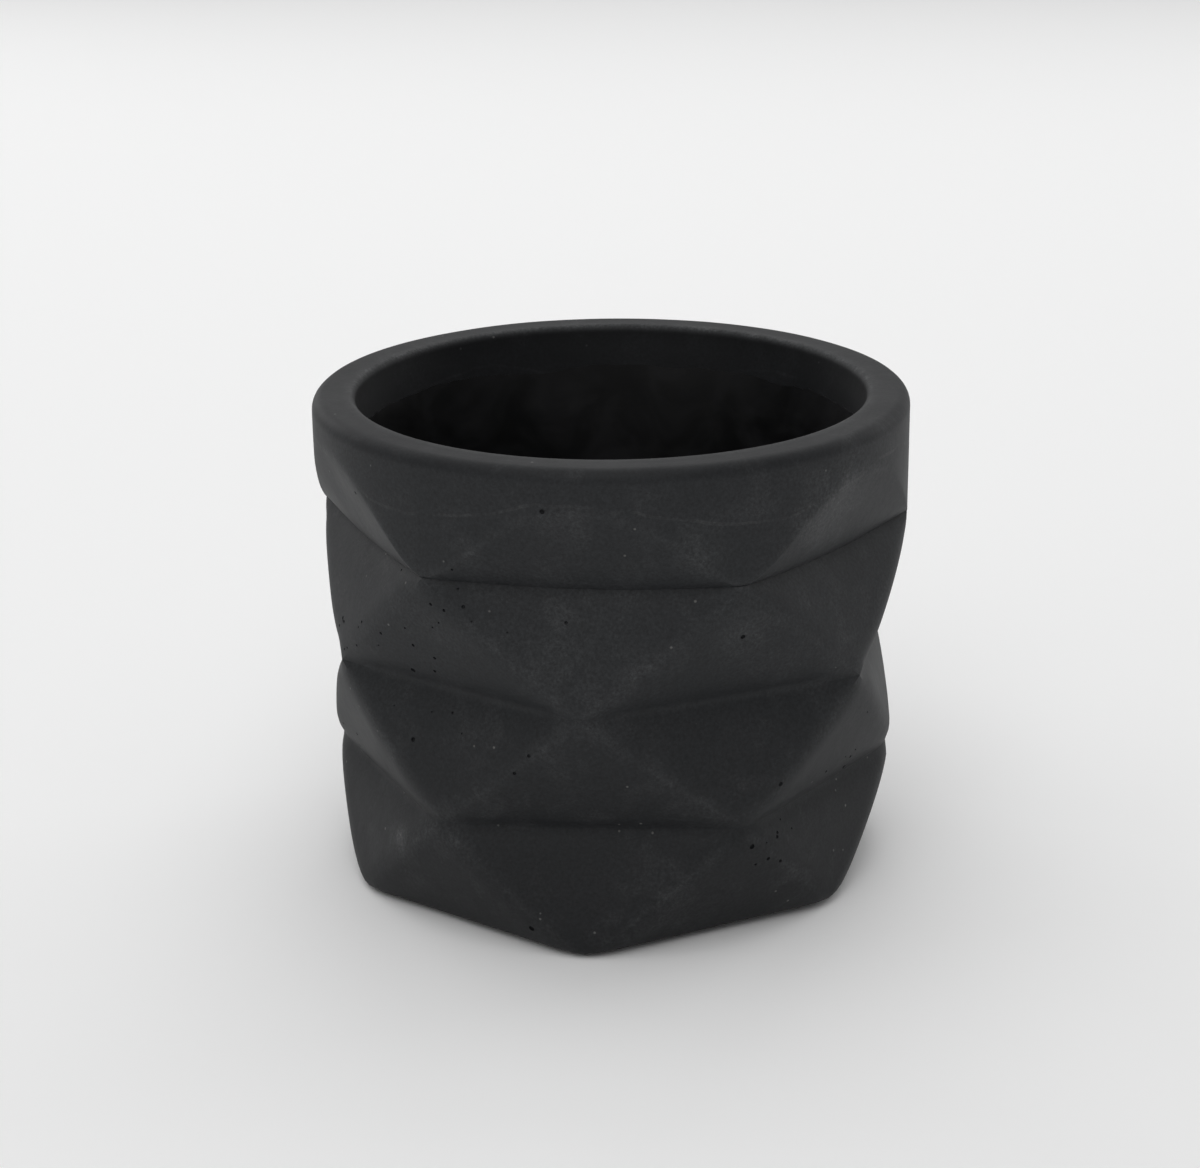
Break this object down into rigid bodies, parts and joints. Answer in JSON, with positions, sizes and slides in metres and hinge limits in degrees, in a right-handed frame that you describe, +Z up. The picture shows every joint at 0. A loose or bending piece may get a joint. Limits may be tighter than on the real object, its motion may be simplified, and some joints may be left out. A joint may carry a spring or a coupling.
{
  "type": "candle vessel",
  "caption": "Empty cast concrete candle vessel with a round rim over a folded, faceted outside and a sealed well for wax.",
  "frame": {"origin": "centre of the base's underside", "axes": "+Z up along the vessel's axis; -Y through a corner of the base hexagon"},
  "size_m": [0.09, 0.09, 0.075],
  "materials": {
    "charcoal_concrete": "matt cast, pigmented through, with pinholes",
    "seal_coat": "brushed satin sealer"
  },
  "bodies": {
    "root": {"cast_body": "charcoal_concrete", "seal_coat": "seal_coat"}
  },
  "joints": []
}
